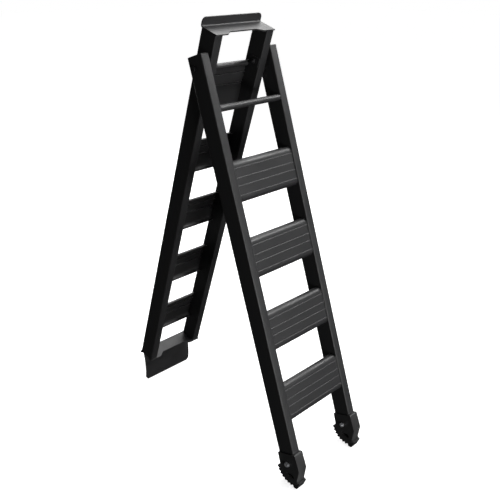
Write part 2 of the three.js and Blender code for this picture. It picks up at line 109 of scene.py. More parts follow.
PIVOT_RADIUS = 5 * MM
PIVOT_OUT = 35 * MM * math.sin(LEAN)
PIVOT_DOWN = 35 * MM * math.cos(LEAN)
PIVOT_HEAD = 9.2 * MM
PIVOT_WASHER = (12 * MM, 2 * MM)  # radius and thickness
PIVOT_INNER_WASHER_RADIUS = 11 * MM
PIVOT_BUSH_RADIUS = 15 * MM
PIVOT_NUT_HEIGHT = 8 * MM
PIVOT_PLATE = {"height": 30 * MM, "thickness": 4 * MM, "edge": 2.2 * MM, "corner": 3 * MM}
ROD_RADIUS = 10.5 * MM
ROD_WALL = 2.2 * MM
ROD_OUT = HALF_DEPTH - ROD_RADIUS - FIT
ROD_DOWN = 165 * MM

BOOT_TOP = 1318 * MM
BOOT_WALL = 3.2 * MM
BOOT_OUTER = FRONT_OUTER + FIT + BOOT_WALL
BOOT_INNER = FRONT_INNER - FIT - BOOT_WALL
BOOT_BOLT = (-4 * MM, 1358 * MM)
BOOT_BOLT_RADIUS = 4 * MM
BOOT_BORE = 4.3 * MM
BOOT_HEAD = 8 * MM
BOOT_WASHER_RADIUS = 10 * MM
BOOT_TOE = 12 * MM
POCKET = ((-20, 6), (8, 11), (14, 20), (10, 27), (-9, 19))  # mm out, and mm below the rail's end
SOLE_CENTRE = (14 * MM, 1372 * MM)
SOLE_RADIUS = 64 * MM
SOLE_THICKNESS = 5.5 * MM
TOOTH_COUNT = 7
TOOTH_HEIGHT = 6 * MM
TREAD_WELD = 1.3 * MM
ROD_WELD = 1.2 * MM

SIDES = (("left", -1), ("right", 1))


# ---------- materials ----------


def material(name, colour, roughness, metallic=0.0):
    """A new material and its node tree, shader and a position in object space, in metres."""
    made = bpy.data.materials.new(name)
    made.use_nodes = True
    tree = made.node_tree
    shader = tree.nodes["Principled BSDF"]
    shader.inputs["Base Color"].default_value = (*colour, 1)
    shader.inputs["Roughness"].default_value = roughness
    shader.inputs["Metallic"].default_value = metallic
    place = tree.nodes.new("ShaderNodeTexCoord").outputs["Object"]
    return made, tree, shader, place


def noise(tree, place, size, detail=2.0, stretch=(1, 1, 1)):
    """Noise whose features are about size metres across."""
    mapping = tree.nodes.new("ShaderNodeMapping")
    mapping.inputs["Scale"].default_value = stretch
    tree.links.new(place, mapping.inputs["Vector"])
    node = tree.nodes.new("ShaderNodeTexNoise")
    node.inputs["Scale"].default_value = 1 / size
    node.inputs["Detail"].default_value = detail
    tree.links.new(mapping.outputs["Vector"], node.inputs["Vector"])
    return node.outputs["Fac"]


def ramp(tree, value, low, high, start, end):
    """value from low to high becomes start to end, held outside."""
    node = tree.nodes.new("ShaderNodeMapRange")
    node.inputs["From Min"].default_value = low
    node.inputs["From Max"].default_value = high
    node.inputs["To Min"].default_value = start
    node.inputs["To Max"].default_value = end
    tree.links.new(value, node.inputs["Value"])
    return node.outputs["Result"]


def tint(tree, value, dark, light):
    """A colour between dark and light."""
    node = tree.nodes.new("ShaderNodeMix")
    node.data_type = "RGBA"
    node.inputs["A"].default_value = (*dark, 1)
    node.inputs["B"].default_value = (*light, 1)
    tree.links.new(value, node.inputs["Factor"])
    return node.outputs["Result"]


def bump(tree, shader, *layers):
    """Bumps on top of each other. Each layer is (height, strength, depth in metres)."""
    normal = None
    for height, strength, depth in layers:
        node = tree.nodes.new("ShaderNodeBump")
        node.inputs["Strength"].default_value = strength
        node.inputs["Distance"].default_value = depth
        tree.links.new(height, node.inputs["Height"])
        if normal:
            tree.links.new(normal, node.inputs["Normal"])
        normal = node.outputs["Normal"]
    tree.links.new(normal, shader.inputs["Normal"])


def edge_mask(tree, radius):
    """1 along the outer edges of a piece, 0 on its flats."""
    soft = tree.nodes.new("ShaderNodeBevel")
    soft.inputs["Radius"].default_value = radius
    geometry = tree.nodes.new("ShaderNodeNewGeometry")
    dot = tree.nodes.new("ShaderNodeVectorMath")
    dot.operation = "DOT_PRODUCT"
    tree.links.new(soft.outputs["Normal"], dot.inputs[0])
    tree.links.new(geometry.outputs["True Normal"], dot.inputs[1])
    return ramp(tree, dot.outputs["Value"], 0.995, 0.9, 0, 1)


def powder_coat(name, edge_wear_and_highlight_colour, least, most):
    """Black powder coat: fine orange peel, slightly uneven gloss, worn thinner and paler along edges on the
    plain coat; on the tread ribs the pale edges are a painted highlight.
    """
    made, tree, shader, place = material(name, COAT, 0.42)
    smudge = noise(tree, place, 0.09, 3)
    peel = noise(tree, place, 0.0022, 2)
    grain = noise(tree, place, 0.0007, 1)
    # Edges paled toward the given colour: real wear where least and most are small, painted highlight where
    # they are large, as on the tread ribs.
    edge_wear_and_highlight = tree.nodes.new("ShaderNodeMath")
    edge_wear_and_highlight.operation = "MULTIPLY"
    tree.links.new(edge_mask(tree, 0.9 * MM), edge_wear_and_highlight.inputs[0])
    tree.links.new(ramp(tree, noise(tree, place, 0.012, 4), 0.42, 0.62, least, most), edge_wear_and_highlight.inputs[1])
    tree.links.new(tint(tree, edge_wear_and_highlight.outputs[0], COAT, edge_wear_and_highlight_colour), shader.inputs["Base Color"])
    tree.links.new(ramp(tree, smudge, 0.3, 0.7, 0.4, 0.5), shader.inputs["Roughness"])
    bump(tree, shader, (peel, 0.22, 0.12 * MM), (grain, 0.15, 0.05 * MM))
    return made


def moulded_plastic():
    """Black moulded plastic with a fine spark-eroded grain."""
    made, tree, shader, place = material("black_plastic", (0.02, 0.02, 0.02), 0.55)
    grain = noise(tree, place, 0.0009, 2)
    scuff = ramp(tree, noise(tree, place, 0.03, 5, (1, 1, 0.3)), 0.5, 0.75, 0, 1)
    tree.links.new(tint(tree, scuff, PLASTIC, PLASTIC_SCUFFED), shader.inputs["Base Color"])
    tree.links.new(ramp(tree, scuff, 0, 1, 0.5, 0.66), shader.inputs["Roughness"])
    bump(tree, shader, (grain, 0.35, 0.08 * MM))
    return made


def rubber():
    """Black sole rubber, dull, with a little dust towards the ground."""
    made, tree, shader, place = material("sole_rubber", (0.012, 0.012, 0.012), 0.8)
    height = tree.nodes.new("ShaderNodeSeparateXYZ")
    tree.links.new(place, height.inputs[0])
    near = ramp(tree, height.outputs["Z"], 0.0, 0.03, 1, 0)
    dust = tree.nodes.new("ShaderNodeMath")
    dust.operation = "MULTIPLY"
    tree.links.new(near, dust.inputs[0])
    tree.links.new(ramp(tree, noise(tree, place, 0.006, 5), 0.45, 0.75, 0, 0.6), dust.inputs[1])
    colour = tint(tree, dust.outputs[0], (0.01, 0.01, 0.01), (0.05, 0.049, 0.046))
    tree.links.new(colour, shader.inputs["Base Color"])
    bump(tree, shader, (noise(tree, place, 0.0012, 3), 0.4, 0.12 * MM))
    return made


def steel(name, colour, roughness, metallic):
    """Plated steel with fine turning marks and a mottled passivation."""
    made, tree, shader, place = material(name, colour, roughness, metallic)
    mottle = noise(tree, place, 0.004, 3)
    lines = noise(tree, place, 0.0009, 2, (0.3, 1, 1))
    pale = tuple(min(1, c * 1.25) for c in colour)
    tree.links.new(tint(tree, mottle, tuple(c * 0.8 for c in colour), pale), shader.inputs["Base Color"])
    gloss = ramp(tree, mottle, 0.3, 0.7, roughness - 0.08, roughness + 0.1)
    tree.links.new(gloss, shader.inputs["Roughness"])
    bump(tree, shader, (lines, 0.3, 0.04 * MM))
    return made


COAT = (0.024, 0.024, 0.025)
COAT_WORN = (0.1, 0.1, 0.102)
# Pale colour for the tread rib edges: a painted highlight standing in for light catching the ribs.
RIB_PAINTED_HIGHLIGHT = (0.2, 0.2, 0.203)
PLASTIC = (0.03, 0.03, 0.0305)
PLASTIC_SCUFFED = (0.05, 0.05, 0.05)
FINISHES = {
    "black_powder_coat": powder_coat("black_powder_coat", COAT_WORN, 0.1, 0.7),
    "black_plastic": moulded_plastic(),
    "sole_rubber": rubber(),
    "zinc_hardware": steel("zinc_hardware", (0.62, 0.63, 0.65), 0.38, 0.5),
    "black_hardware": steel("black_hardware", (0.03, 0.03, 0.032), 0.42, 0.4),
}

# Tread coat whose edges, mostly the ribs, are painted almost evenly pale: a painted highlight, not wear.
RIBBED_COAT_PAINTED_HIGHLIGHT = powder_coat("tread_powder_coat_painted_highlight", RIB_PAINTED_HIGHLIGHT, 0.6, 1.0)


# ---------- mesh helpers ----------

# Every piece is laid out on the axes of its section: x across, "out" to the front across the rail, and
# "down" along the rail, both measured from the crossing of the centre planes.


def world(section, x, out, down):
    """A point on a section's own axes, in the frame of the whole ladder."""
    way = 1 if section == "front" else -1
    y = CROSSING.y - way * down * math.sin(LEAN) - out * math.cos(LEAN)
    z = CROSSING.z - down * math.cos(LEAN) + way * out * math.sin(LEAN)
    return Vector((CROSSING.x + x, y, z))


def piece(name, section, loops, closed_run=False, cap=True):
    """A mesh skinned over loops of [x, out, down] points with as many points each."""
    bm = bmesh.new()
    rows = [[bm.verts.new(world(section, *point)) for point in loop] for loop in loops]
    count = len(rows[0])
    pairs = list(zip(rows, rows[1:]))
    if closed_run:
        pairs.append((rows[-1], rows[0]))
    for one, other in pairs:
        for i in range(count):
            j = (i + 1) % count
            bm.faces.new((one[i], one[j], other[j], other[i]))
    if cap and not closed_run:
        bm.faces.new(rows[0][::-1])
        bm.faces.new(rows[-1])
    bmesh.ops.recalc_face_normals(bm, faces=bm.faces)
    mesh = bpy.data.meshes.new(name)
    bm.to_mesh(mesh)
    bm.free()
    made = bpy.data.objects.new(name, mesh)
    bpy.context.scene.collection.objects.link(made)
    return made


def prism(name, section, run, outline, low, high, hole=None):
    """An outline run along one axis from low to high, with an optional hole of as many points.
    The run is "x", "out" or "down", and the outline gives the other two in the order x, out, down."""
    at = {"x": 0, "out": 1, "down": 2}[run]

    def lift(points, where):
        loop = []
        for a, b in points:
            point = [a, b]
            point.insert(at, where)
            loop.append(point)
        return loop

    if hole is None:
        return piece(name, section, [lift(outline, low), lift(outline, high)])
    loops = [lift(outline, low), lift(outline, high), lift(hole, high), lift(hole, low)]
    return piece(name, section, loops, closed_run=True)


def boolean(target, tool, operation):
    """target cut, joined or clipped by tool, which goes away."""
    modifier = target.modifiers.new("boolean", "BOOLEAN")
    modifier.operation = operation
    modifier.solver = "EXACT"
    modifier.object = tool
    depsgraph = bpy.context.evaluated_depsgraph_get()
    result = bpy.data.meshes.new_from_object(target.evaluated_get(depsgraph))
    target.modifiers.clear()
    old = target.data
    target.data = result
    result.name = target.name
    bpy.data.meshes.remove(old)
    bpy.data.objects.remove(tool)
    return target


def dress(made, section, finish, stands_for=(), soften=0.0, angle=32):
    """Smooth shading with crisp edges, rounded by soften, then finish, body and the nodes it stands for."""
    made.data.shade_smooth()
    made.data.set_sharp_from_angle(angle=math.radians(angle))
    if soften:
        modifier = made.modifiers.new("soften", "BEVEL")
        modifier.width = soften
        modifier.segments = 2
        modifier.limit_method = "ANGLE"
        modifier.angle_limit = math.radians(angle)
        modifier.harden_normals = True
        modifier.use_clamp_overlap = True
    made.data.materials.clear()
    made.data.materials.append(FINISHES[finish])
    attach(made, f"{section}_section")
    if stands_for:
        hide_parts(*stands_for)
    return made


def arc(centre, radius, start, end, steps):
    """Points on an arc, with angles in degrees."""
    points = []
    for i in range(steps + 1):
        angle = math.radians(start + (end - start) * i / steps)
        points.append((centre[0] + radius * math.cos(angle), centre[1] + radius * math.sin(angle)))
    return points


def rounded(x, y, width, depth, corner, steps=6):
    """Rectangle with rounded corners round (x, y)."""
    points = []
    for start, (sx, sy) in zip((0, 90, 180, 270), ((1, 1), (-1, 1), (-1, -1), (1, -1))):
        centre = (x + sx * (width / 2 - corner), y + sy * (depth / 2 - corner))
        points += arc(centre, corner, start, start + 90, steps)
    return points


def circle(centre, radius, sides=48):
    """Points round a circle, without repeating the first."""
    return arc(centre, radius, 0, 360 * (sides - 1) / sides, sides - 1)


def between(side, near, far):
    """Two places across the ladder, on the left or the right of its middle."""
    return (side * near, side * far)


# ---------- rails and caps ----------


def build_rail(section, word, side, top, end, bolts):
    """One rail tube, drilled across for bolts given as (out, down, radius)."""
    centre = side * ((FRONT_OUTER if section == "front" else REAR_OUTER) - RAIL_WIDTH / 2)
    outer = rounded(centre, 0, RAIL_WIDTH, RAIL_DEPTH, RAIL_CORNER)
    bore = (RAIL_WIDTH - 2 * RAIL_WALL, RAIL_DEPTH - 2 * RAIL_WALL)
    inner = rounded(centre, 0, *bore, RAIL_CORNER - RAIL_WALL)
    name = f"{section}_rail_{word}"
    rail = prism(f"{name}_tube", section, "down", outer, top, end, inner)
    for out, down, radius in bolts:
        limits = (centre - RAIL_WIDTH, centre + RAIL_WIDTH)
        drill = prism("drill", section, "x", circle((out, down), radius, 32), *limits)
        boolean(rail, drill, "DIFFERENCE")
    dress(rail, section, "black_powder_coat", [name])


def build_cap(word, side):
    """End cap with a crowned top, rounded over into its rim."""
    centre = side * (FRONT_OUTER - RAIL_WIDTH / 2)
    loops = []
    levels = ((0, 3.7), (0, 2.2), (0.3, 1.2), (1.0, 0.4), (2.2, 0.05))  # mm inset, and mm below the top
    for inset, depth in levels:
        inset, depth = inset * MM, depth * MM
        shape = rounded(centre, 0, RAIL_WIDTH - 2 * inset, RAIL_DEPTH - 2 * inset, RAIL_CORNER)
        loops.append([(x, out, FRONT_TOP + depth) for x, out in shape])
    cap = piece(f"front_rail_cap_{word}_crown", "front", loops)
    dress(cap, "front", "black_plastic", [f"front_rail_cap_{word}"])


# ---------- treads ----------


def tread_outline(top, height, face, inward):
    """Section of a tread as [out, down] points: top lip, ribbed face, bottom lip, and back up inside."""
    bottom = top + height
    tip = face + inward * TREAD_DEPTH
    inner = face + inward * TREAD_WALL

    def bend(down, radius, start, end):
        return [(tip - inward * a, down + b) for a, b in arc((0, 0), radius, start, end, 10)]

    points = bend(top + TREAD_ROUND, TREAD_ROUND, -90, 0)
    for place in RIB_PLACES:
        middle = top + place * height
        for step in range(7):
            angle = math.pi * step / 6
            rise = RIB_HEIGHT * math.sin(angle) ** 0.6
            points.append((face - inward * rise, middle - RIB_WIDTH / 2 * math.cos(angle)))
    points += bend(bottom - TREAD_ROUND, TREAD_ROUND, 0, 90)
    points += bend(bottom - TREAD_ROUND, TREAD_ROUND - TREAD_WALL, 90, 0)
    for place in reversed(STIFFENER_PLACES):
        middle = top + place * height
        reach = inner + inward * 5 * MM
        points += [(inner, middle + 1.2 * MM), (reach, middle + 1.2 * MM)]
        points += [(reach, middle - 1.2 * MM), (inner, middle - 1.2 * MM)]
    points += bend(top + TREAD_ROUND, TREAD_ROUND - TREAD_WALL, 0, -90)
    return points


def bead(name, section, path, radius, closed=False):
    """A weld bead with a slow ripple along a path of [x, out, down] points."""
    route = [Vector(point) for point in path]
    if closed:
        route.append(route[0])
    spots = []
    for a, b in zip(route, route[1:]):
        steps = max(1, round((b - a).length / (1.1 * MM)))
        spots += [a.lerp(b, i / steps) for i in range(steps)]
    if not closed:
        spots.append(route[-1])
    loops = []
    travelled = 0.0
    for i, spot in enumerate(spots):
        before = spots[i - 1] if closed or i else spot
        after = spots[(i + 1) % len(spots)] if closed or i + 1 < len(spots) else spot
        along = (after - before).normalized()
        travelled += (spot - before).length
        side = along.cross(Vector((1, 0, 0))).normalized()
        swell = radius * (1 + 0.12 * math.sin(travelled / (0.55 * MM)))
        ring = []
        for k in range(8):
            angle = 2 * math.pi * k / 8
            ring.append(spot + (side * math.cos(angle) + Vector((1, 0, 0)) * math.sin(angle)) * swell)
        loops.append(ring)
    made = piece(name, section, loops, closed_run=closed)
    return dress(made, section, "black_powder_coat", angle=80)


def build_tread(section, number, top, height, inner_face):
    """One extruded tread between the rails, with a weld bead round its outline at each end."""
    face = TREAD_FACE if section == "front" else -TREAD_FACE
    inward = -1 if section == "front" else 1
    name = f"{section}_tread_{number}"
    outline = tread_outline(top, height, face, inward)
    half = inner_face - FIT
    made = prism(f"{name}_step", section, "x", outline, -half, half)
    dress(made, section, "black_powder_coat", [name])
    # Give the tread the coat with pale rib edges, a painted highlight.
    made.data.materials[0] = RIBBED_COAT_PAINTED_HIGHLIGHT
    tip = face + inward * TREAD_DEPTH
    seam = arc((0, 0), TREAD_ROUND, -90, 0, 8)
    upper = [(tip - inward * a, top + TREAD_ROUND + b) for a, b in seam]
    lower = [(out, 2 * top + height - down) for out, down in reversed(upper)]
    for word, side in SIDES:
        x = side * (inner_face - 0.4 * MM)
        path = [(x, out, down) for out, down in upper + lower]
        bead(f"{name}_weld_{word}", section, path, TREAD_WELD)


def build_rolled_lip():
    """The top edge of the pivot tread, rolled forward and down between the two pivots."""
    top = REAR_TREADS[0][0]
    centre = (TREAD_DEPTH - TREAD_FACE, top + LIP_ROLL)
    outline = arc(centre, LIP_ROLL, -90, 90, 16) + arc(centre, LIP_ROLL - TREAD_WALL, 90, -90, 12)
    half = REAR_INNER - 15 * MM  # clear of the nuts
    made = prism("rear_tread_1_rolled_lip", "rear", "x", outline, -half, half)
    dress(made, "rear", "black_powder_coat", soften=0.4 * MM)


def build_rod():
    """Round tube across the front section, welded to both rails."""
    half = FRONT_INNER - FIT
    outer = circle((ROD_OUT, ROD_DOWN), ROD_RADIUS, 64)
    inner = circle((ROD_OUT, ROD_DOWN), ROD_RADIUS - ROD_WALL, 64)
    rod = prism("cross_rod_tube", "front", "x", outer, -half, half, inner)
    dress(rod, "front", "black_powder_coat", ["front_cross_rod"])
    for word, side in SIDES:
        x = side * (FRONT_INNER - 0.6 * MM)
        ring = [(x, out, down) for out, down in circle((ROD_OUT, ROD_DOWN), ROD_RADIUS - 0.9 * MM, 32)]
        bead(f"cross_rod_weld_{word}", "front", ring, ROD_WELD, closed=True)


# ---------- bent brackets ----------


def strip_outline(line):
    """Section of a bent plate whose middle follows line, as [out, down] points."""
    one = []
    other = []
    for i, point in enumerate(line):
        before = Vector(line[max(i - 1, 0)])
        after = Vector(line[min(i + 1, len(line) - 1)])
        slope = (after - before).normalized()
        one.append((point[0] - slope.y * PLATE / 2, point[1] + slope.x * PLATE / 2))
        other.append((point[0] + slope.y * PLATE / 2, point[1] - slope.x * PLATE / 2))
    return one + other[::-1]


def notch_tool(section, low, high):
    """Cuts the opening in the front edge of a bracket, with rounded inner corners."""
    floor = PLATE_FRONT - NOTCH_DEPTH
    right = [(NOTCH_HALF_MOUTH, PLATE_FRONT + 2 * MM), (NOTCH_HALF_MOUTH, PLATE_FRONT)]
    right += arc((NOTCH_HALF_FLOOR, floor + NOTCH_CORNER), NOTCH_CORNER, -40, -90, 5)
    left = [(-x, out) for x, out in reversed(right)]
    return prism("notch", section, "down", right + left, low, high)


def tab(half, root, end, corner):
    """Outline with two rounded corners at its end, as [x, down] points."""
    way = 1 if end > root else -1
    right = [(x, end - way * corner + way * b) for x, b in arc((half - corner, 0), corner, 0, 90, 10)]
    left = [(-x, b) for x, b in reversed(right)]
    return [(half, root)] + right + left + [(-half, root)]


def build_hook():
    """Plate across the top of the rear rails, bent up into a lip at its back edge."""
    bend = BRACKET_BEND
    lip = -HALF_DEPTH - FIT - PLATE / 2
    middle = REAR_PLATE_TOP + PLATE / 2
    line = [(PLATE_FRONT, middle)] + arc((lip + bend, middle - bend), bend, 90, 180, 10)
    line.append((lip, REAR_PLATE_TOP - LIP_HEIGHT))
    hook = prism("hook_bracket_plate", "rear", "x", strip_outline(line), -REAR_OUTER, REAR_OUTER)
    outline = tab(REAR_OUTER, REAR_PLATE_TOP + 9 * MM, REAR_PLATE_TOP - LIP_HEIGHT, LIP_CORNER)
    clip = prism("clip", "rear", "out", outline, -HALF_DEPTH - 20 * MM, PLATE_FRONT + 5 * MM)
    boolean(hook, clip, "INTERSECT")
    boolean(hook, notch_tool("rear", REAR_PLATE_TOP - 10 * MM, REAR_PLATE_TOP + 20 * MM), "DIFFERENCE")
    dress(hook, "rear", "black_powder_coat", ["top_hook_bracket"], soften=0.6 * MM)


def build_tongue():
    """Plate across the foot of the rear rails, bent down into a curved tongue that ends on the ground."""
    bend = BRACKET_BEND
    lip = -HALF_DEPTH - FIT - PLATE / 2
    middle = REAR_PLATE_BOTTOM + PLATE / 2
    line = [(PLATE_FRONT, middle)]
    line += arc((lip + bend, middle + bend), bend, -90, -180 - TONGUE_ROOT_SLANT, 12)
    start = line[-1]
    a, b = math.radians(TONGUE_ROOT_SLANT), math.radians(TONGUE_END_SLANT)
    turn = (math.cos(b) - math.cos(a), math.sin(a) - math.sin(b))

    def drop(out, down):
        return down * math.cos(LEAN) + out * math.sin(LEAN)

    radius = (CROSSING.z - drop(*start)) / drop(*turn)
    for i in range(1, 25):
        angle = a + (b - a) * i / 24
        out = start[0] + radius * (math.cos(angle) - math.cos(a))
        line.append((out, start[1] + radius * (math.sin(a) - math.sin(angle))))
    end = line[-1]
    line.append((end[0] + 4 * MM * math.sin(b), end[1] + 4 * MM * math.cos(b)))
    tongue = prism("tongue_bracket_plate", "rear", "x", strip_outline(line), -REAR_OUTER, REAR_OUTER)
    shoulder = REAR_PLATE_BOTTOM + PLATE + SHOULDER_DROP
    outline = [(-REAR_OUTER, REAR_PLATE_BOTTOM - 5 * MM), (REAR_OUTER, REAR_PLATE_BOTTOM - 5 * MM)]
    outline.append((REAR_OUTER, shoulder - 6 * MM))
    outline += tab(TONGUE_HALF_WIDTH, shoulder, end[1] + 1 * MM, TONGUE_CORNER)
    outline.append((-REAR_OUTER, shoulder - 6 * MM))
    clip = prism("clip", "rear", "out", outline, -HALF_DEPTH - 20 * MM, PLATE_FRONT + 30 * MM)
    boolean(tongue, clip, "INTERSECT")
    notch = notch_tool("rear", REAR_PLATE_BOTTOM - 10 * MM, REAR_PLATE_BOTTOM + PLATE + MM)
    boolean(tongue, notch, "DIFFERENCE")
    level = [(out, (CROSSING.z - out * math.sin(LEAN)) / math.cos(LEAN)) for out in (-0.1, 0.1)]
    below = level + [(0.1, 1.6), (-0.1, 1.6)]
    boolean(tongue, prism("ground", "rear", "x", below, -0.2, 0.2), "DIFFERENCE")
    dress(tongue, "rear", "black_powder_coat", ["ramp_tongue_bracket"], soften=0.6 * MM)


# ---------- bolts, nuts and washers ----------


def hex_radius(angle, corner):
    """Distance from the middle of a hexagon to its edge."""
    turned = (angle + math.pi / 6) % (math.pi / 3) - math.pi / 6
    return corner * math.cos(math.pi / 6) / math.cos(turned)


def hex_loop(x, centre, corner, limit):
    """Hexagon at x whose corners are cut off by a circle of radius limit."""
    loop = []
    for k in range(72):
        angle = 2 * math.pi * k / 72
        radius = min(hex_radius(angle, corner), limit)
        loop.append((x, centre[0] + radius * math.cos(angle), centre[1] + radius * math.sin(angle)))
    return loop


def hex_head(name, section, centre, side, foot, crown, corner, dimple):
    """Bolt head with a chamfered crown and a shallow dimple in it."""
    height = crown - foot
    rise = ((0, 1), (0.72, 1), (0.86, 0.965), (0.95, 0.92), (1, 0.86))
    loops = [hex_loop(side * (foot + height * a), centre, corner, corner * b) for a, b in rise]
    for depth, share in ((0, dimple + 0.12), (0.12, dimple), (0.16, 0.08)):
        loops.append(hex_loop(side * (crown - height * depth), centre, corner, corner * share))
    return piece(name, section, loops)


def disc_ring(name, section, centre, side, near, far, outer, inner):
    """Washer with its outer edge rolled over a little."""
    soft = min(0.35 * MM, (far - near) / 3)
    rims = [(near, inner), (near, outer - soft), (near + soft, outer), (far - soft, outer)]
    rims += [(far, outer - soft), (far, inner)]
    loops = [[(side * x, a, b) for a, b in circle(centre, radius)] for x, radius in rims]
    return piece(name, section, loops, closed_run=True)


def stud(name, section, centre, side, near, far, radius):
    """Threaded shank with a chamfered end; the thread is a row of ridges."""
    loops = []
    pitch = 1.5 * MM
    steps = max(4, round((far - near) / (pitch / 4)))
    for i in range(steps + 1):
        x = near + (far - near) * i / steps
        depth = (0, 0.35, 0.7, 0.35)[i % 4] * 0.7 * MM
        taper = max(0.0, 1.2 * MM - (x - near)) * 0.8
        loops.append([(side * x, a, b) for a, b in circle(centre, radius - depth - taper, 32)])
    return piece(name, section, loops)


def bolt_set(prefix, word, side, section, centre, finish, shank, head, corner, stands_for):
    """Head, threaded end and plain shank of one bolt."""
    made = hex_head(f"{prefix}_head_{word}", section, centre, side, *head, corner, 0.34)
    dress(made, section, finish, stands_for)
    near, far, radius = shank
    thread_end = near + 18 * MM
    thread = stud(f"{prefix}_thread_{word}", section, centre, side, near, thread_end, radius)
    dress(thread, section, finish)
    plain = [[(side * x, a, b) for a, b in circle(centre, radius - FIT)] for x in (thread_end, far)]
    dress(piece(f"{prefix}_shank_{word}", section, plain), section, finish)


def nut(name, section, centre, side, near, far, corner, bore):
    """Hexagon nut, chamfered on both faces."""
    height = far - near
    shape = ((0, 0.88), (0.1, 0.95), (0.2, 1), (0.8, 1), (0.9, 0.95), (1, 0.88))
    loops = [hex_loop(side * (near + height * a), centre, corner, corner * b) for a, b in shape]
    for x in (far, near):
        loops.append([(side * x, a, b) for a, b in circle(centre, bore, 72)])
    return piece(name, section, loops, closed_run=True)


def build_pivot(word, side):
    """Bolt, washers, bush and nut of one pivot, and the plate inside the rear rail."""
    centre = (-PIVOT_OUT, PIVOT_DOWN)
    bore = PIVOT_RADIUS + FIT
    face = REAR_INNER - PIVOT_PLATE["thickness"]
    washer_radius, washer = PIVOT_WASHER
    head = (FRONT_OUTER + washer + FIT, FRONT_OUTER + 8 * MM)
    shank = (face - 13 * MM, FRONT_OUTER + 2.5 * MM, PIVOT_RADIUS)
    size = (shank, head, PIVOT_HEAD, [f"pivot_bolt_{word}"])
    bolt_set("pivot_bolt", word, side, "front", centre, "black_hardware", *size)
    rings = (
        ("pivot_washer", FRONT_OUTER + FIT, FRONT_OUTER + washer, washer_radius, "black_hardware"),
        ("pivot_inner_washer", face - washer, face - FIT, PIVOT_INNER_WASHER_RADIUS, "black_hardware"),
        ("pivot_bush", REAR_OUTER + FIT, FRONT_INNER - FIT, PIVOT_BUSH_RADIUS, "black_plastic"),
    )
    for name, near, far, radius, finish in rings:
        ring = disc_ring(f"{name}_ring_{word}", "front", centre, side, near, far, radius, bore)
        dress(ring, "front", finish, [f"{name}_{word}"])
    grip = (face - washer - PIVOT_NUT_HEIGHT, face - washer - FIT, PIVOT_HEAD, bore)
    made = nut(f"pivot_nut_hex_{word}", "front", centre, side, *grip)
    dress(made, "front", "black_hardware", [f"pivot_nut_{word}"])

    back = TREAD_DEPTH - TREAD_FACE + 0.8 * MM
    width = HALF_DEPTH - PIVOT_PLATE["edge"] - back
    shape = (width, PIVOT_PLATE["height"], PIVOT_PLATE["corner"])
    outline = rounded(back + width / 2, PIVOT_DOWN, *shape)
    plate = prism(f"pivot_plate_pad_{word}", "rear", "x", outline, *between(side, face, REAR_INNER - FIT))
    hole = circle((PIVOT_OUT, PIVOT_DOWN), bore)
    through = between(side, face - 5 * MM, REAR_INNER + 5 * MM)
    boolean(plate, prism("drill", "rear", "x", hole, *through), "DIFFERENCE")
    dress(plate, "rear", "black_powder_coat", [f"pivot_plate_{word}"], soften=0.5 * MM)


# ---------- boots and soles ----------


def boot_outline():
    """Side of a boot as [out, down] points, ending on the curve that carries the sole."""
    back = -HALF_DEPTH - FIT - BOOT_WALL
    toe = HALF_DEPTH + BOOT_TOE
    points = [(back + 2 * MM, BOOT_TOP), (back, BOOT_TOP + 2.5 * MM), (back - 1.5 * MM, BOOT_TOP + 40 * MM)]
    points += arc(SOLE_CENTRE, SOLE_RADIUS - SOLE_THICKNESS - FIT, 176, 80, 30)
    points += [(toe - 21 * MM, SOLE_CENTRE[1] + 45 * MM), (toe, SOLE_CENTRE[1] + 4 * MM)]
    return points + [(toe - 3 * MM, BOOT_TOP + 2.5 * MM), (toe - 5 * MM, BOOT_TOP)]


def sole_outline():
    """Curved band with saw teeth, a flat under the toe and a short lip in front."""
    points = arc(SOLE_CENTRE, SOLE_RADIUS - SOLE_THICKNESS, 80, 176, 30)
    span = (101 - 180) / TOOTH_COUNT
    for i in range(TOOTH_COUNT):
        tip = 180 + span * i
        points += arc(SOLE_CENTRE, SOLE_RADIUS + TOOTH_HEIGHT, tip, tip + 0.1 * span, 1)
        points += arc(SOLE_CENTRE, SOLE_RADIUS, tip + 0.72 * span, tip + 0.8 * span, 1)
    for out in (1 * MM, 13 * MM):
        points.append((out, (CROSSING.z + out * math.sin(LEAN)) / math.cos(LEAN)))
    return points + [(31 * MM, SOLE_CENTRE[1] + 55 * MM), (28 * MM, SOLE_CENTRE[1] + 49 * MM)]


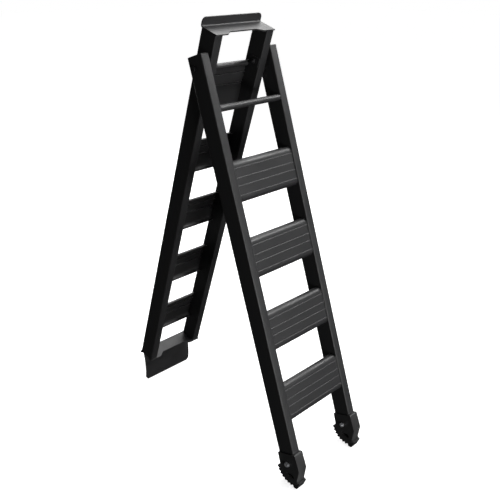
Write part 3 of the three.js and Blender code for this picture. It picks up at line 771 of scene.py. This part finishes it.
def build_boot(word, side):
    """Moulded boot over the foot of a rail, its serrated sole, and the bolt through both."""
    limits = between(side, BOOT_INNER, BOOT_OUTER)
    through = between(side, BOOT_INNER - 20 * MM, BOOT_OUTER + 20 * MM)
    centre = side * (FRONT_OUTER - RAIL_WIDTH / 2)
    boot = prism(f"boot_shell_{word}", "front", "x", boot_outline(), *limits)
    socket = rounded(centre, 0, RAIL_WIDTH + 2 * FIT, RAIL_DEPTH + 2 * FIT, RAIL_CORNER)
    boolean(boot, prism("socket", "front", "down", socket, BOOT_TOP - 5 * MM, FRONT_END + FIT), "DIFFERENCE")
    boolean(boot, prism("drill", "front", "x", circle(BOOT_BOLT, BOOT_BORE), *through), "DIFFERENCE")
    pocket = [(out * MM, FRONT_END + down * MM) for out, down in POCKET]
    boolean(boot, prism("pocket", "front", "x", pocket, *through), "DIFFERENCE")
    dress(boot, "front", "black_plastic", [f"front_boot_{word}"], soften=0.9 * MM)

    band = between(side, BOOT_INNER + MM, BOOT_OUTER - MM)
    sole = prism(f"sole_tread_{word}", "front", "x", sole_outline(), *band)
    dress(sole, "front", "sole_rubber", [f"front_sole_{word}"], soften=0.4 * MM)

    head = (BOOT_OUTER + 1.8 * MM + FIT, BOOT_OUTER + 7 * MM)
    shank = (BOOT_INNER - 11 * MM, BOOT_OUTER + 2.5 * MM, BOOT_BOLT_RADIUS)
    size = (shank, head, BOOT_HEAD, [f"boot_bolt_{word}"])
    bolt_set("boot_bolt", word, side, "front", BOOT_BOLT, "zinc_hardware", *size)
    ring = (BOOT_OUTER + FIT, BOOT_OUTER + 1.8 * MM, BOOT_WASHER_RADIUS, BOOT_BORE)
    washer = disc_ring(f"boot_washer_ring_{word}", "front", BOOT_BOLT, side, *ring)
    dress(washer, "front", "zinc_hardware", [f"boot_washer_{word}"])
    grip = (BOOT_INNER - 8 * MM, BOOT_INNER - FIT, BOOT_HEAD, BOOT_BORE)
    made = nut(f"boot_nut_hex_{word}", "front", BOOT_BOLT, side, *grip)
    dress(made, "front", "zinc_hardware", [f"boot_nut_{word}"])


# ---------- the ladder ----------

for word, side in SIDES:
    front_bolts = [(-PIVOT_OUT, PIVOT_DOWN, PIVOT_RADIUS + FIT), (*BOOT_BOLT, 4.3 * MM)]
    build_rail("front", word, side, FRONT_TOP + 4 * MM, FRONT_END, front_bolts)
    rear_bolts = [(PIVOT_OUT, PIVOT_DOWN, PIVOT_RADIUS + FIT)]
    build_rail("rear", word, side, REAR_PLATE_TOP + PLATE + FIT, REAR_PLATE_BOTTOM - FIT, rear_bolts)
    build_cap(word, side)
    build_pivot(word, side)
    build_boot(word, side)

for section, treads, inner_face in (("front", FRONT_TREADS, FRONT_INNER), ("rear", REAR_TREADS, REAR_INNER)):
    for number, (top, height) in enumerate(treads, start=1):
        build_tread(section, number, top, height, inner_face)

build_rolled_lip()
build_rod()
build_hook()
build_tongue()


# ---------- floor, light and camera ----------


def build_floor():
    """Pale floor with a soft shadow. It doesn't throw light back at the ladder."""
    bpy.ops.mesh.primitive_plane_add(size=40)
    floor = bpy.context.object
    floor.name = "floor"
    made, tree, shader, place = material("floor_pale", (0.86, 0.86, 0.86), 0.9)
    shader.inputs["Specular IOR Level"].default_value = 0.0
    shader.inputs["Emission Color"].default_value = (1, 1, 1, 1)
    shader.inputs["Emission Strength"].default_value = 0.8
    mottle = noise(tree, place, 0.5, 3)
    tree.links.new(tint(tree, mottle, (0.85, 0.85, 0.85), (0.87, 0.87, 0.87)), shader.inputs["Base Color"])
    floor.data.materials.append(made)
    floor.visible_diffuse = False
    floor.visible_glossy = False


def sun(name, energy, spread, azimuth, elevation):
    """A sun that shines from azimuth (0 is the front, 90 the right) and elevation, in degrees."""
    light = bpy.data.lights.new(name, "SUN")
    light.energy = energy
    light.angle = math.radians(spread)
    made = bpy.data.objects.new(name, light)
    a, e = math.radians(azimuth), math.radians(elevation)
    away = Vector((math.sin(a) * math.cos(e), -math.cos(a) * math.cos(e), math.sin(e)))
    made.rotation_mode = "QUATERNION"
    made.rotation_quaternion = away.to_track_quat("Z", "Y")
    bpy.context.scene.collection.objects.link(made)


def panel(name, energy, size, place, target):
    """A rectangular soft light at place that faces target."""
    light = bpy.data.lights.new(name, "AREA")
    light.shape = "RECTANGLE"
    light.size, light.size_y = size
    light.energy = energy
    made = bpy.data.objects.new(name, light)
    made.location = place
    made.rotation_mode = "QUATERNION"
    made.rotation_quaternion = (Vector(place) - Vector(target)).to_track_quat("Z", "Y")
    bpy.context.scene.collection.objects.link(made)


def build_light():
    """White behind the ladder, dim all round it, and the lights of a photo studio."""
    surround = bpy.data.worlds.new("surround")
    surround.use_nodes = True
    tree = surround.node_tree
    path = tree.nodes.new("ShaderNodeLightPath")
    strength = ramp(tree, path.outputs["Is Camera Ray"], 0, 1, 0.035, 1.0)
    background = tree.nodes["Background"]
    background.inputs["Color"].default_value = (1, 1, 1, 1)
    tree.links.new(strength, background.inputs["Strength"])
    bpy.context.scene.world = surround
    sun("key_sun", 0.8, 12, 42, 52)
    panel("front_panel", 58, (1.4, 2.0), (0.7, -4.0, 1.2), (0, 0, 0.9))
    panel("top_panel", 84, (2.2, 2.2), (2.1, 0.9, 3.6), (0, 0, 1.0))
    panel("edge_panel", 60, (1.1, 1.1), (2.3, -1.4, 3.1), (0, 0, 0.8))
    panel("low_fill", 34, (1.2, 0.7), (-1.1, -3.3, 0.35), (0, 0, 0.5))
    panel("back_panel", 85, (1.6, 2.0), (1.3, 4.0, 1.3), (0, 0, 0.8))
    bpy.context.scene.view_settings.view_transform = "Standard"


def build_camera():
    """At the photographer's place: to the left of the front, a little above the ladder's top."""
    camera = bpy.data.cameras.new("camera")
    camera.lens = 50.05
    camera.sensor_width = 36
    made = bpy.data.objects.new("camera", camera)
    made.location = (-1.5982, -1.6249, 1.6544)
    azimuth, elevation = math.radians(-45.554), math.radians(22.866)
    ahead = Vector((
        -math.sin(azimuth) * math.cos(elevation),
        math.cos(azimuth) * math.cos(elevation),
        -math.sin(elevation),
    ))
    made.rotation_mode = "QUATERNION"
    made.rotation_quaternion = ahead.to_track_quat("-Z", "Y")
    bpy.context.scene.collection.objects.link(made)
    bpy.context.scene.camera = made


build_floor()
build_light()
build_camera()
